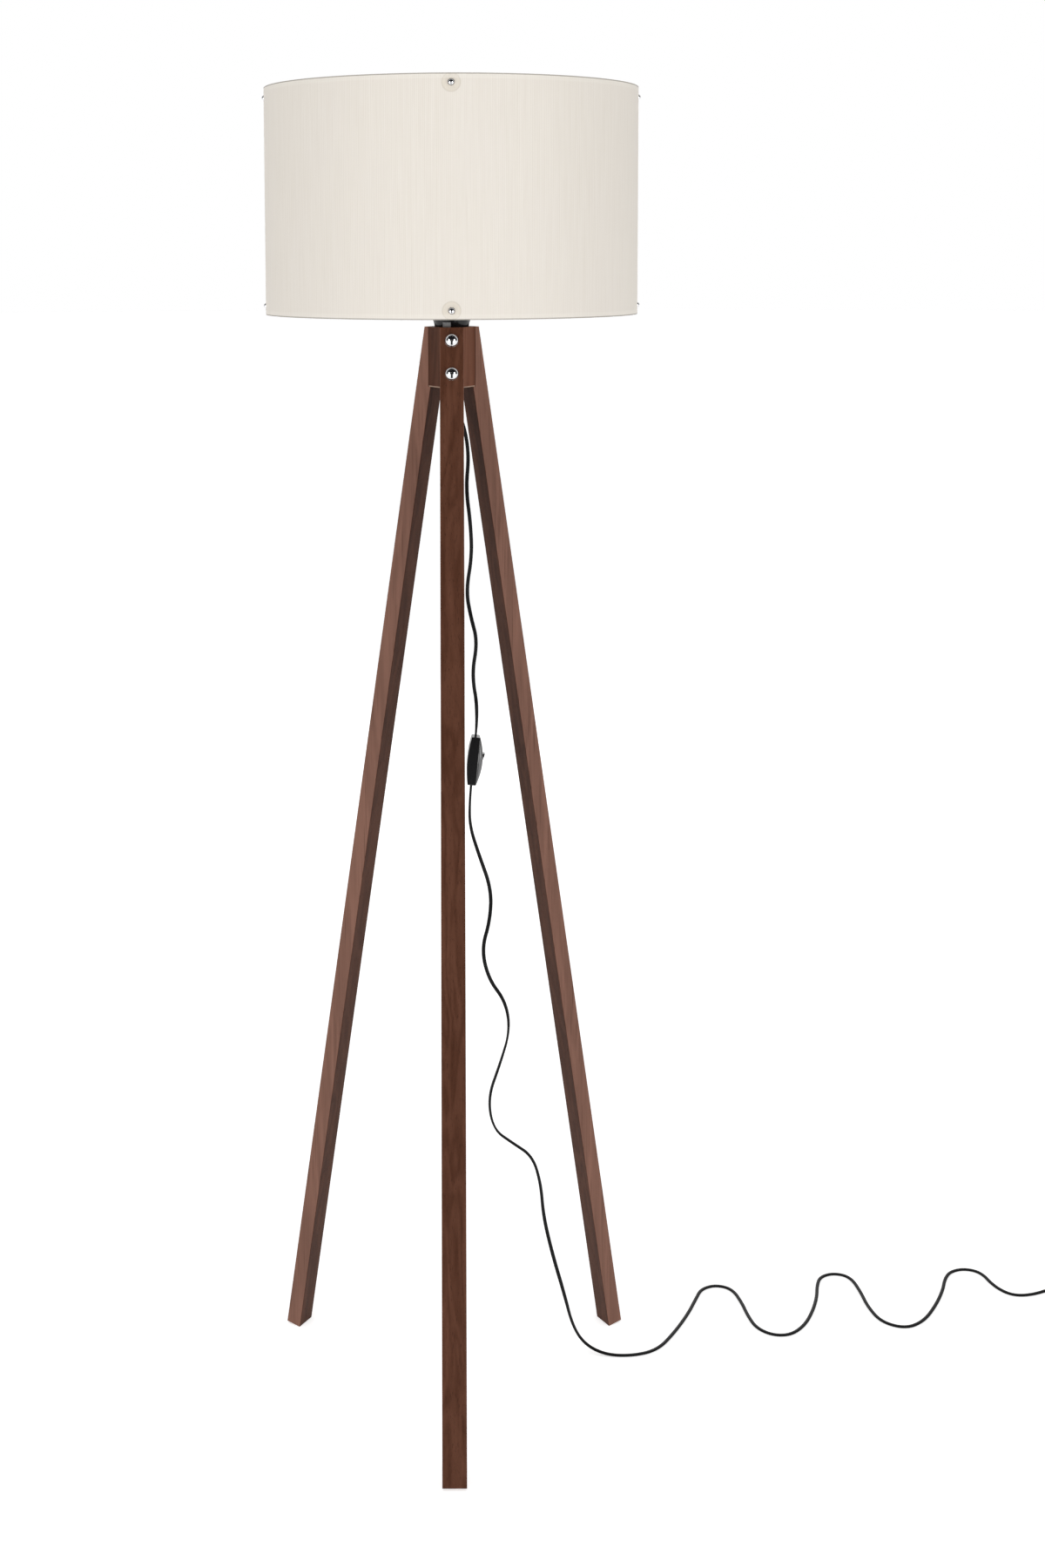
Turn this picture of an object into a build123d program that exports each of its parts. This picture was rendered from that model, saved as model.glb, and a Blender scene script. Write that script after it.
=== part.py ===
from build123d import *
import os
from math import acos, asin, atan2, cos, hypot, pi, radians, sin, tan

os.makedirs("parts", exist_ok=True)

# A tripod floor lamp, in millimetres and degrees.  The origin is on the floor under the hub's axis,
# +Z is up, and the front leg stands towards -Y.

# Driving dimensions: legs, hub and bolts
leg_width = 25.5
leg_thickness = 18.0
leg_lean = 9.35
leg_radius_at_floor = 213.0
leg_edge_round = 0.8
leg_directions = {"leg_front": -90.0, "leg_rear_right": 30.0, "leg_rear_left": 150.0}
hub_top = 1185.0
hub_height = 65.0
hub_edge = 0.8
bolt_drops = [13.4, 48.6]
bolt_radius = 3.0
bolt_length = 22.0
bolt_head_radius = 7.5
bolt_head_height = 5.0
insert_radius = 4.5
insert_length = 10.0
insert_depth = 0.8
hole_clearance = 0.2

# Driving dimensions: threaded tube and lampholder
tube_radius = 5.0
tube_bore = 3.5
tube_below_hub = 5.0
tube_nut_radius = 8.0
tube_nut_height = 3.0
washer_radius = 9.5
washer_thickness = 1.2
bush_radius = 6.0
bush_flange = 2.0
bush_sleeve = 6.0
cap_foot_radius = 18.4
cap_radius = 22.0
cap_height = 21.0
cap_wall = 2.2
cap_floor = 3.0
thread_radius = 19.5
thread_depth = 0.6
thread_pitch = 3.0
thread_count = 6
flange_thickness = 2.0
holder_height = 56.0
core_radius = 16.8
screw_shell_bore = 13.4
screw_shell_wall = 0.5

# Driving dimensions: shade and its wire frame
shade_radius = 200.0
shade_height = 240.0
shade_gap = 14.0
sheet_thickness = 0.8
seam_width = 24.0
screw_inset = 9.0
screw_radius = 1.5
screw_length = 6.2
screw_head_radius = 3.3
screw_head_height = 3.2
screw_directions = [0.0, 90.0, 180.0, 270.0]
seam_direction = 90.0
screw_washer_radius = 8.5
screw_washer_thickness = 1.0
screw_washer_gap = 0.3
tab_thickness = 1.2
tab_width = 10.0
nut_radius = 3.1
nut_thickness = 2.4
wire_radius = 1.5
wire_inset = 3.0
arm_radius = 1.6
arm_directions = [45.0, 135.0, 225.0, 315.0]
fitter_thickness = 1.5
fitter_radius = 27.0
clamp_radius = 26.0
clamp_height = 8.0
clamp_grips = 24

# Driving dimensions: bulb
bulb_cap_radius = 13.1
bulb_cap_length = 20.0
bulb_radius = 30.0
bulb_length = 108.0
bulb_neck_radius = 14.0
bulb_glass_wall = 1.0
contact_gap = 0.4

# Driving dimensions: cord, switch, coil and plug
cord_radius = 2.1
switch_length = 54.0
switch_mid_half_width = 12.0
switch_end_half_width = 8.5
switch_seam = 4.5
switch_tilt = 5.3
switch_centre = (22.8, 0.0, 706.8)
rocker_pivot = 6.0
rocker_half_width = 4.3
rocker_rest = 7.0
axle_radius = 1.0
axle_half_length = 6.4
coil_centre = (777.0, 153.0)
coil_radius = 23.0
coil_half_band = 3.2
coil_bottom = 1.0
coil_height = 14.0
tie_wall = 0.9
tie_half_width = 3.0
tie_direction = 225.0
plug_x = 806.0
plug_front_y = -22.0
plug_length = 36.0
plug_width = 35.0
plug_thickness = 13.7
pin_radius = 2.0
pin_length = 19.0
pin_spacing = 18.6
relief_length = 30.0

# The cord's route, as the corners of its straight runs: from the bush under the hub to the switch,
# from the switch down to the floor and along it to the coil, and from the coil to the plug.
upper_route = [
    (0, 0, 1112.7), (1.5, 0.5, 1100), (13, 1, 1079), (18.5, 2, 1045), (15, 2, 1008.5), (20, 1, 970),
    (21.5, 0, 934), (15, -1, 896), (20, 0, 867), (27.5, 1, 839), (21, 1, 802), (28, 0, 763),
    (25.3, 0, 733.7),
]
lower_route = [
    (20.3, 0, 679.9), (18.5, 0, 660), (18.5, 0, 632), (28.5, 0, 600), (42.5, 1, 560), (41, 2, 524),
    (31.5, 3, 490.5), (39.5, 4, 455.5), (58.5, 5, 429.5), (63.5, 7, 395), (52, 9, 355), (38.5, 12, 315),
    (44.5, 14, 277), (66.5, 16, 260), (89.5, 19, 243), (99, 21, 209), (102, 24, 169), (113, 27, 121),
    (126.5, 30, 73), (136, 33, 34), (150, 36, 9.5), (177, 33, 2.2), (206, 25, 2.2), (235, 37, 2.2),
    (258, 73, 2.2), (279, 114, 2.2), (293, 149, 2.2), (302, 171, 2.2), (321, 180.5, 2.2), (340, 171, 2.2),
    (347, 140, 2.2), (352, 110, 2.2), (361, 82, 2.2), (379, 67, 2.2), (400, 69, 2.2), (418, 92, 2.2),
    (430, 122, 2.2), (440, 152, 2.2), (445, 178, 2.2), (452.5, 199, 2.2), (471, 208, 2.2), (490, 199, 2.2),
    (495.5, 164, 2.2), (498, 130, 2.2), (510, 94, 2.2), (537, 82, 2.2), (561, 99, 2.2), (580, 133, 2.2),
    (597, 168, 2.2), (605, 192, 2.2), (616, 210.5, 2.2), (635.5, 218, 2.2), (654.5, 209, 2.2),
    (661, 177, 2.2), (679, 155, 2.2), (705, 156, 2.2), (736, 173, 2.2), (755, 178, 2.2), (772, 176.4, 3.2),
]
tail_route = [
    (800.5, 148, 12.5), (802, 134, 11), (804, 117, 6), (806, 98, 2.2), (806.5, 79, 2.2), (806, 61, 6.85),
    (806, 44, 6.85),
]

# Worked out from the driving dimensions
lean_rise = tan(radians(leg_lean))
half_leg_across = leg_thickness / 2 / cos(radians(leg_lean))
hub_bottom = hub_top - hub_height
hub_flat = leg_width * cos(pi / 6)
cap_top = hub_top + cap_height
flange_top = cap_top + flange_thickness
holder_top = hub_top + holder_height
fitter_top = flange_top + fitter_thickness
shade_bottom = hub_top + shade_gap
shade_top = shade_bottom + shade_height
sheet_inner = shade_radius - sheet_thickness
screw_washer_face = sheet_inner - screw_washer_gap
tab_face = screw_washer_face - screw_washer_thickness
nut_face = tab_face - tab_thickness
wire_ring_radius = nut_face - wire_radius
core_bottom = hub_top + 15.0
core_floor = core_bottom + 14.0
contact_top = core_floor + 2.6
bulb_bottom = contact_top + contact_gap
bulb_centre = bulb_bottom + bulb_length - bulb_radius
bush_bottom = hub_bottom - tube_below_hub - bush_flange
switch_place = Location(switch_centre, (0, switch_tilt, 0))
half_switch = switch_length / 2
plug_middle = plug_thickness / 2


def solids_in(shape):
    """Every solid in a shape or in a list of shapes."""
    if isinstance(shape, (list, tuple)):
        return [solid for part in shape for solid in solids_in(part)]
    return list(shape.solids())


def save(node, shape):
    """Write one node, made of one or more solids, to its own file."""
    solids = solids_in(shape)
    whole = solids[0] if len(solids) == 1 else Compound(children=solids)
    export_step(whole, f"parts/{node}.step")


def rod(radius, low, high, x=0.0, y=0.0):
    """A round bar standing on Z from low to high."""
    return Pos(x, y, (low + high) / 2) * Cylinder(radius, high - low)


def rod_x(radius, low, high, y=0.0, z=0.0):
    """A round bar lying along X from low to high."""
    return Pos((low + high) / 2, y, z) * Rot(0, 90, 0) * Cylinder(radius, high - low)


def pipe(outer, inner, low, high):
    """A round tube standing on Z from low to high."""
    return rod(outer, low, high) - rod(inner, low - 1, high + 1)


def nut(radius, bore, low, high):
    """A hexagon nut standing on Z from low to high."""
    return Pos(0, 0, low) * extrude(RegularPolygon(radius, 6), high - low) - rod(bore, low - 1, high + 1)


def turned(profile):
    """A solid of revolution about Z, from its closed outline as (radius, height) points."""
    outline = Polyline([(r, 0, z) for r, z in profile], close=True)
    return revolve(make_face(outline), Axis.Z)


def box_between(low, high):
    """A block between two opposite corners."""
    size = [b - a for a, b in zip(low, high)]
    return Pos(*[(a + b) / 2 for a, b in zip(low, high)]) * Box(*size)


def around(shape, directions):
    """Copies of a shape made on the +X side, turned about Z to each direction."""
    return [shape.moved(Rot(0, 0, direction)) for direction in directions]


def dome_screw(head_radius, head_height, shank_radius, shank_length):
    """A dome-head screw along +X: its head stands on the plane x = 0 and its shank runs to -X."""
    ball = (head_radius**2 + head_height**2) / (2 * head_height)
    half = asin(head_radius / ball) / 2
    middle = (ball * sin(half), 0, head_height - ball + ball * cos(half))
    crown = ThreePointArc((head_radius, 0, 0), middle, (0, 0, head_height))
    shank = Polyline([
        (0, 0, head_height), (0, 0, -shank_length), (shank_radius, 0, -shank_length), (shank_radius, 0, 0),
        (head_radius, 0, 0),
    ])
    return Rot(0, 90, 0) * revolve(make_face(crown + shank), Axis.Z)


# ------------------------------------------------------------------ legs, hub and bolts
# One leg is made leaning away from +X and is then turned to each direction.
def bolt_place(drop):
    """Where a bolt's axis meets the leg's outer face, square to that face."""
    height = hub_top - drop
    return Location((leg_radius_at_floor - height * lean_rise + half_leg_across, 0, height), (0, -leg_lean, 0))


def insert_face(drop):
    """How far behind the leg's outer face, along the bolt, its insert starts."""
    return (bolt_place(drop).position.X - hub_flat) / cos(radians(leg_lean)) + insert_depth


def bolt_and_insert_space():
    """All that the six bolts and their inserts take out of the hub."""
    space = []
    for drop in bolt_drops:
        start = insert_face(drop)
        space.append(bolt_place(drop) * rod_x(insert_radius, -start - insert_length, -start))
        space.append(bolt_place(drop) * rod_x(bolt_radius + hole_clearance, -bolt_length - 1, 0))
    return [piece for part in space for piece in around(part, leg_directions.values())]


leg_reach = (hub_top + leg_thickness) / cos(radians(leg_lean))
foot_lift = leg_thickness / 2 * lean_rise
beam = Box(leg_thickness, leg_width, leg_reach)
beam = fillet(beam.edges().filter_by(Axis.Z), leg_edge_round)
leg = Location((leg_radius_at_floor, 0, 0), (0, -leg_lean, 0)) * Pos(0, 0, foot_lift + leg_reach / 2) * beam
leg -= box_between((-60, -30, hub_top), (90, 30, hub_top + 60))
leg -= box_between((-60, -30, hub_bottom), (hub_flat, 30, hub_top + 60))
for drop in bolt_drops:
    leg -= bolt_place(drop) * rod_x(bolt_radius + hole_clearance, -leg_thickness - 10, 1)
for node, direction in leg_directions.items():
    save(node, Rot(0, 0, direction) * leg)

hub = Pos(0, 0, hub_bottom) * extrude(RegularPolygon(leg_width, 6), hub_height)
hub = chamfer(hub.edges().filter_by(Axis.Z) + hub.faces().sort_by(Axis.Z)[0].edges(), hub_edge)
hub -= rod(tube_radius + hole_clearance, hub_bottom - 1, hub_top + 1)
hub -= bolt_and_insert_space()
save("hub_block", hub)

bolt = dome_screw(bolt_head_radius, bolt_head_height, bolt_radius, bolt_length)
insert = rod_x(insert_radius, -insert_length, 0) - rod_x(bolt_radius, -insert_length - 1, 1)
leg_bolts = [bolt_place(drop) * bolt for drop in bolt_drops]
bolt_inserts = [bolt_place(drop) * Pos(-insert_face(drop), 0, 0) * insert for drop in bolt_drops]
save("leg_bolts", [piece for part in leg_bolts for piece in around(part, leg_directions.values())])
save("bolt_inserts", [piece for part in bolt_inserts for piece in around(part, leg_directions.values())])

# ------------------------------------------------------------------ threaded tube and cord bush
nut_bottom = hub_bottom - washer_thickness - tube_nut_height
tube_top = hub_top + cap_floor + tube_nut_height + 2
save("threaded_tube", pipe(tube_radius, tube_bore, hub_bottom - tube_below_hub, tube_top))
save("tube_washer", pipe(washer_radius, tube_radius, hub_bottom - washer_thickness, hub_bottom))
save("tube_nut", nut(tube_nut_radius, tube_radius, nut_bottom, nut_bottom + tube_nut_height))
save("tube_top_nut", nut(tube_nut_radius, tube_radius, hub_top + cap_floor, hub_top + cap_floor + tube_nut_height))
bush = rod(bush_radius, bush_bottom, bush_bottom + bush_flange)
bush += rod(tube_bore, bush_bottom, bush_bottom + bush_flange + bush_sleeve)
save("cord_bush", bush - rod(cord_radius, bush_bottom - 1, hub_top))
save("cord_inner", rod(cord_radius, bush_bottom, core_bottom - 1))

# ------------------------------------------------------------------ lampholder
shoulder = hub_top + 12.0
cap = turned([
    (tube_radius, hub_top), (cap_foot_radius, hub_top), (cap_radius, shoulder), (cap_radius, cap_top),
    (cap_radius - cap_wall, cap_top), (cap_radius - cap_wall, shoulder),
    (cap_foot_radius - cap_wall, hub_top + cap_floor), (tube_radius, hub_top + cap_floor),
])
save("lampholder_cap", cap)
lock_tab = box_between((cap_foot_radius - 0.4, -4.3, hub_top), (cap_foot_radius + 2.4, 4.3, hub_top + 5.2))
save("cap_lock_tab", (lock_tab - cap).moved(Rot(0, 0, -105)))

threads = []
for turn in range(thread_count):
    z = holder_top - 2 - (thread_count - turn) * thread_pitch
    root = thread_radius - thread_depth
    threads += [(thread_radius, z), (thread_radius, z + 0.9), (root, z + 1.5), (root, z + 2.4)]
skirt_radius = cap_radius - cap_wall - 0.1
save("lampholder_shell", turned(
    [(core_radius + 0.1, core_bottom), (skirt_radius, core_bottom), (skirt_radius, cap_top)]
    + [(cap_radius, cap_top), (cap_radius, flange_top), (thread_radius, flange_top)]
    + threads
    + [(thread_radius, holder_top - 1), (thread_radius - 1, holder_top), (14.6, holder_top)]
    + [(14.6, holder_top - 2), (core_radius + 0.1, holder_top - 2)]
))
save("lampholder_core", turned([
    (3.0, core_bottom), (core_radius, core_bottom), (core_radius, holder_top - 5), (14.0, holder_top - 5),
    (14.0, core_floor), (3.0, core_floor),
]))
shell_outer = screw_shell_bore + screw_shell_wall
shell_floor = core_floor + screw_shell_wall
save("screw_shell", turned([
    (8.0, core_floor), (shell_outer, core_floor), (shell_outer, holder_top - 3), (screw_shell_bore, holder_top - 3),
    (screw_shell_bore, shell_floor), (8.0, shell_floor),
]))
save("centre_contact", turned([
    (0, core_bottom), (3.0, core_bottom), (3.0, core_floor), (5.5, core_floor), (5.5, core_floor + 0.6),
    (3.2, contact_top), (0, contact_top),
]))
terminals = [rod(2.6, core_bottom - 2.5, core_bottom, x) for x in (-10.0, 10.0)]
save("terminal_screws", terminals)

clamp = pipe(clamp_radius, thread_radius + 0.1, fitter_top, fitter_top + clamp_height)
grip_step = 360.0 / clamp_grips
grip = rod(1.0, fitter_top - 1, fitter_top + clamp_height + 1, clamp_radius + 0.3)
save("shade_clamp_ring", clamp - around(grip, [step * grip_step for step in range(clamp_grips)]))

# ------------------------------------------------------------------ shade frame
save("fitter_ring", pipe(fitter_radius, thread_radius + 0.5, flange_top, fitter_top))
wire_heights = {"shade_bottom_ring": shade_bottom + wire_inset, "shade_top_ring": shade_top - wire_inset}
rings = {node: Pos(0, 0, z) * Torus(wire_ring_radius, wire_radius) for node, z in wire_heights.items()}
for node, ring in rings.items():
    save(node, ring)
arm_start = Vector(fitter_radius - 2, 0, flange_top + fitter_thickness / 2)
arm_end = Vector(wire_ring_radius - wire_radius + 0.4, 0, wire_heights["shade_bottom_ring"])
arm = sweep(Plane(arm_start, z_dir=arm_end - arm_start) * Circle(arm_radius), Line(arm_start, arm_end))
arm -= rod(fitter_radius, hub_top, holder_top)
arm -= rings["shade_bottom_ring"]
save("spider_arms", around(arm.solids().sort_by(SortBy.VOLUME)[-1], arm_directions))

# ------------------------------------------------------------------ shade sheet and its screws
screw_heights = [shade_bottom + screw_inset, shade_top - screw_inset]
sheet = pipe(shade_radius, sheet_inner, shade_bottom, shade_top)
seam = pipe(shade_radius + sheet_thickness, shade_radius, shade_bottom, shade_top)
seam &= box_between((-seam_width / 2, 150, shade_bottom), (seam_width / 2, 250, shade_top))
sheet += seam
screw_hole = rod_x(screw_radius + 0.1, sheet_inner - 5, shade_radius + 5)
sheet -= [Pos(0, 0, z) * hole for z in screw_heights for hole in around(screw_hole, screw_directions)]
save("shade_sheet", sheet)

screw = dome_screw(screw_head_radius, screw_head_height, screw_radius, screw_length)
washer = rod_x(screw_washer_radius, tab_face, screw_washer_face) - rod_x(screw_radius, 0, shade_radius)
screw_nut = Pos(nut_face, 0, 0) * Rot(0, -90, 0) * nut(nut_radius, screw_radius, 0, nut_thickness)
screws, washers, nuts, tabs = [], [], [], []
for z in screw_heights:
    towards_rim = -1 if z == screw_heights[0] else 1
    rim_end = z + towards_rim * (screw_inset - wire_inset + wire_radius)
    inner_end = z - towards_rim * tab_width / 2
    tab = box_between((nut_face, -tab_width / 2, min(rim_end, inner_end)), (tab_face, tab_width / 2, max(rim_end, inner_end)))
    tab -= rod_x(screw_radius, 0, shade_radius, 0, z)
    for direction in screw_directions:
        outside = shade_radius + (sheet_thickness if direction == seam_direction else 0)
        screws.append(Rot(0, 0, direction) * Pos(outside, 0, z) * screw)
        washers.append(Rot(0, 0, direction) * Pos(0, 0, z) * washer)
        nuts.append(Rot(0, 0, direction) * Pos(0, 0, z) * screw_nut)
        tabs.append(Rot(0, 0, direction) * tab)
save("shade_screws", screws)
save("screw_washers", washers)
save("screw_nuts", nuts)
save("ring_tabs", tabs)

# ------------------------------------------------------------------ bulb
cap_low = bulb_bottom + 5.0
cap_high = cap_low + bulb_cap_length


def bulb_body(inset):
    """The glass envelope's outline, moved in by inset and turned about Z."""
    ball = bulb_radius - inset
    neck = bulb_neck_radius - inset
    neck_z = cap_high + 5
    to_neck = atan2(neck_z - bulb_centre, neck)
    touch = to_neck + acos(ball / hypot(neck, neck_z - bulb_centre))
    tangent = (ball * cos(touch), 0, bulb_centre + ball * sin(touch))
    middle = (ball * cos((touch + pi / 2) / 2), 0, bulb_centre + ball * sin((touch + pi / 2) / 2))
    low = cap_high - 8 - inset
    side = Polyline([(0, 0, low), (12.4 - inset, 0, low), (12.4 - inset, 0, cap_high), (neck, 0, neck_z), tangent])
    crown = ThreePointArc(tangent, middle, (0, 0, bulb_centre + ball))
    axis = Line((0, 0, bulb_centre + ball), (0, 0, low))
    return revolve(make_face(side + crown + axis), Axis.Z)


save("bulb_glass", bulb_body(0) - bulb_body(bulb_glass_wall))
save("bulb_cap", turned([
    (12.6, cap_high), (bulb_cap_radius, cap_high), (bulb_cap_radius, cap_low), (10.0, bulb_bottom + 3.3),
    (9.6, bulb_bottom + 3.6), (12.6, cap_low + 0.2),
]))
save("bulb_contact", turned([
    (0, bulb_bottom), (3.2, bulb_bottom), (4.8, bulb_bottom + 1), (4.8, bulb_bottom + 1.8),
    (9.4, bulb_bottom + 3.4), (9.4, bulb_bottom + 4.2), (0, bulb_bottom + 4.2),
]))


# ------------------------------------------------------------------ cord
def cord_tube(node, route):
    """A round tube along straight runs joined by the largest arcs that the runs allow."""
    points = [Vector(*point) for point in route]
    radii = []
    for before, corner, after in zip(points, points[1:], points[2:]):
        run_in, run_out = corner - before, after - corner
        turn = run_in.get_angle(run_out)
        radii.append(0.45 * min(run_in.length, run_out.length) / tan(radians(turn) / 2))
    path = FilletPolyline(*points, radius=radii)
    tube = sweep(Plane(path @ 0, z_dir=path % 0) * Circle(cord_radius), path)
    section = pi * cord_radius**2
    print(node, "length", round(path.length, 1), "radii", [round(radius, 1) for radius in radii])
    print(node, "volume", round(tube.volume), "of", round(section * path.length))
    save(node, tube)


cord_tube("cord_upper", upper_route)
cord_tube("cord_lower", lower_route)
cord_tube("cord_tail", tail_route)

# ------------------------------------------------------------------ switch on the cord
# It is made lying along Z with its cover towards +X, and is then put in its place.
def switch_half(outer_end, outer_middle):
    """The space between the switch's seam and one bowed outer side, with rounded plan."""
    seam_line = Line((switch_seam, 0, -half_switch), (switch_seam, 0, half_switch))
    top = Line((switch_seam, 0, half_switch), (outer_end, 0, half_switch))
    bow = ThreePointArc((outer_end, 0, half_switch), (outer_middle, 0, 0), (outer_end, 0, -half_switch))
    bottom = Line((outer_end, 0, -half_switch), (switch_seam, 0, -half_switch))
    side = extrude(make_face(seam_line + top + bow + bottom), switch_mid_half_width + 1, both=True)
    end, middle = switch_end_half_width, switch_mid_half_width
    right = ThreePointArc((0, end, half_switch), (0, middle, 0), (0, end, -half_switch))
    left = ThreePointArc((0, -end, half_switch), (0, -middle, 0), (0, -end, -half_switch))
    low = Line((0, -end, -half_switch), (0, end, -half_switch))
    high = Line((0, -end, half_switch), (0, end, half_switch))
    body = side & extrude(make_face(right + left + low + high), 20, both=True)
    return fillet(body.edges().filter_by(Axis.X), 2.5)


def symmetric_box(x_low, x_high, half_y, half_z):
    """A block centred on the switch's axis in Y and Z."""
    return box_between((x_low, -half_y, -half_z), (x_high, half_y, half_z))


base = switch_half(-4.2, -7.0) - symmetric_box(-4.4, switch_seam + 1, 7.6, 20.5)
cover = switch_half(5.3, 10.5)
cover -= symmetric_box(switch_seam - 1, 5.7, 7.6, 20.5)
cover -= symmetric_box(switch_seam - 1, 8.2, 9.0, 12.5)
cover -= symmetric_box(switch_seam - 1, 12, rocker_half_width + 0.4, 10.2)
axle_space = Pos(rocker_pivot, 0, 0) * Rot(90, 0, 0) * Cylinder(axle_radius + 0.06, 40)
for side in (-1, 1):
    lug_inner = side * (rocker_half_width + 0.5)
    lug_outer = side * 7.2
    lug = box_between((switch_seam, min(lug_inner, lug_outer), -3), (8.4, max(lug_inner, lug_outer), 3))
    cover += lug - axle_space
screw_z = 17.0
for z in (-screw_z, screw_z):
    base -= rod_x(2.3, -9, -4.9, 0, z)
    base -= rod_x(1.2, -9, switch_seam + 1, 0, z)
    cover -= rod_x(1.2, 0, 7.2, 0, z)
save("switch_base", base.moved(switch_place))
save("switch_cover", cover.moved(switch_place))
base_screws = [rod_x(2.0, -5.6, -4.9, 0, z) + rod_x(1.1, -5.6, 7.0, 0, z) for z in (-screw_z, screw_z)]
save("switch_screws", [base_screw.moved(switch_place) for base_screw in base_screws])
contacts = [box_between((-4.4, y, -9), (-0.5, y + 4, 9)) for y in (-6.5, 2.5)]
save("switch_contacts", [contact.moved(switch_place) for contact in contacts])

rocker_side = Polyline([
    (rocker_pivot + 4.8, 0, 9), (rocker_pivot + 3.7, 0, 0), (rocker_pivot + 4.8, 0, -9),
    (rocker_pivot + 1.4, 0, -9), (rocker_pivot - 1.4, 0, -2.5), (rocker_pivot - 1.4, 0, 2.5),
    (rocker_pivot + 1.4, 0, 9),
], close=True)
rocker = extrude(make_face(rocker_side), rocker_half_width, both=True)
rocker += Pos(rocker_pivot, 0, 0) * Rot(90, 0, 0) * Cylinder(axle_radius, 2 * axle_half_length)
at_rest = Pos(rocker_pivot, 0, 0) * Rot(0, rocker_rest, 0) * Pos(-rocker_pivot, 0, 0)
save("switch_rocker", rocker.moved(switch_place * at_rest))

# ------------------------------------------------------------------ coil, tie and plug
coil_place = Pos(coil_centre[0], coil_centre[1], 0)
band = pipe(coil_radius + coil_half_band, coil_radius - coil_half_band, coil_bottom, coil_bottom + coil_height)
save("cord_coil", coil_place * band)
tie_inner = coil_radius - coil_half_band - tie_wall
tie_outer = coil_radius + coil_half_band + tie_wall
tie_top = coil_bottom + coil_height + tie_wall
tie = box_between((tie_inner, -tie_half_width, coil_bottom - tie_wall), (tie_outer, tie_half_width, tie_top)) - band
save("coil_tie", tie.moved(coil_place * Rot(0, 0, tie_direction)))

plug_back_y = plug_front_y + plug_length
half_width = plug_width / 2
outline = [
    (-half_width, plug_front_y), (half_width, plug_front_y), (half_width, plug_front_y + 10),
    (10.0, plug_back_y - 8), (6.5, plug_back_y), (-6.5, plug_back_y), (-10.0, plug_back_y - 8),
    (-half_width, plug_front_y + 10),
]
plug = Pos(plug_x, 0, 0) * extrude(make_face(Polyline([(x, y, 0) for x, y in outline], close=True)), plug_thickness)
plug = fillet(plug.edges().filter_by(Axis.Z), 2.0)
pin_place = Pos(plug_x, plug_front_y, plug_middle) * Rot(90, 0, 0)
pins = [pin_place * Pos(x, 0, 0) * rod(pin_radius, 0, pin_length) for x in (-pin_spacing / 2, pin_spacing / 2)]
pins = [chamfer(pin.edges().sort_by(Axis.Y)[0], 0.5) for pin in pins]
save("plug_pins", pins)
save("plug_body", plug)
relief = Pos(plug_x, plug_back_y, plug_middle) * Rot(-90, 0, 0)
save("plug_relief", relief * Pos(0, 0, relief_length / 2) * Cone(5.2, 2.9, relief_length))
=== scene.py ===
"""The looks of a tripod floor lamp: stained wood, ribbed drum shade, chrome bolts and flat black flex.

Every length is in metres.  The lamp stands on the floor with its hub over the origin, its front leg
towards -Y and its flex running out towards +X.
"""

import math

import bmesh
import bpy
from bpy.props import FloatProperty, FloatVectorProperty, IntProperty, PointerProperty
from mathutils import Matrix, Vector


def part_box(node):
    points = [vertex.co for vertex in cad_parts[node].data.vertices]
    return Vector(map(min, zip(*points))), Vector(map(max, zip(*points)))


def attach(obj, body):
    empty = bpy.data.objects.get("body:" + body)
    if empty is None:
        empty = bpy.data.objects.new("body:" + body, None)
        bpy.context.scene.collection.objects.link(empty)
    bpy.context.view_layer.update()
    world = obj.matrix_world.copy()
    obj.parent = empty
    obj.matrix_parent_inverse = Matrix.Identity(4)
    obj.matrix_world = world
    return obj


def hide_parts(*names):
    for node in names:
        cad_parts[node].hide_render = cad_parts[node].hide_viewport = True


bl_info = {
    "name": "Tripod floor lamp",
    "version": (1, 0, 0),
    "blender": (4, 5, 0),
    "location": "3D View > Sidebar > Floor lamp",
    "description": "Dresses a tripod floor lamp: wood, shade, lampholder, flex, switch and plug",
    "category": "Object",
}

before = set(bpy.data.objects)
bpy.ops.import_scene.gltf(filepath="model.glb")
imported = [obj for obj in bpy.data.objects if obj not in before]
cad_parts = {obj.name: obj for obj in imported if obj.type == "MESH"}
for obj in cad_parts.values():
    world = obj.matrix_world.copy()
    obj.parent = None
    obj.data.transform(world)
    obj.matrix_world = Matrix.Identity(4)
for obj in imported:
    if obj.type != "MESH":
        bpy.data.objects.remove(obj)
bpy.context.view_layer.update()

HUB_LOW, HUB_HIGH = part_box("hub_block")
SHADE_LOW, SHADE_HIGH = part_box("shade_sheet")
BULB_LOW, BULB_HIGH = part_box("bulb_glass")
CAP_LOW, CAP_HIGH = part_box("bulb_cap")
PLUG_LOW, PLUG_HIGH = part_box("plug_body")
RELIEF_LOW, RELIEF_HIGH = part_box("plug_relief")
COIL_LOW, COIL_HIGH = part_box("cord_coil")
COIL_CENTRE = (COIL_LOW + COIL_HIGH) / 2
SHADE_MIDDLE = (SHADE_LOW.z + SHADE_HIGH.z) / 2
SHADE_HALF = (SHADE_HIGH.z - SHADE_LOW.z) / 2
SCREW_INSET = 0.009
LEG_LEAN = math.radians(9.35)
LEG_THICKNESS = 0.018
LEG_FOOT_RADIUS = 0.213
LEG_DIRECTIONS = {"leg_front": -90.0, "leg_rear_right": 30.0, "leg_rear_left": 150.0}
BOLT_DROPS = (0.0134, 0.0486)

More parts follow.
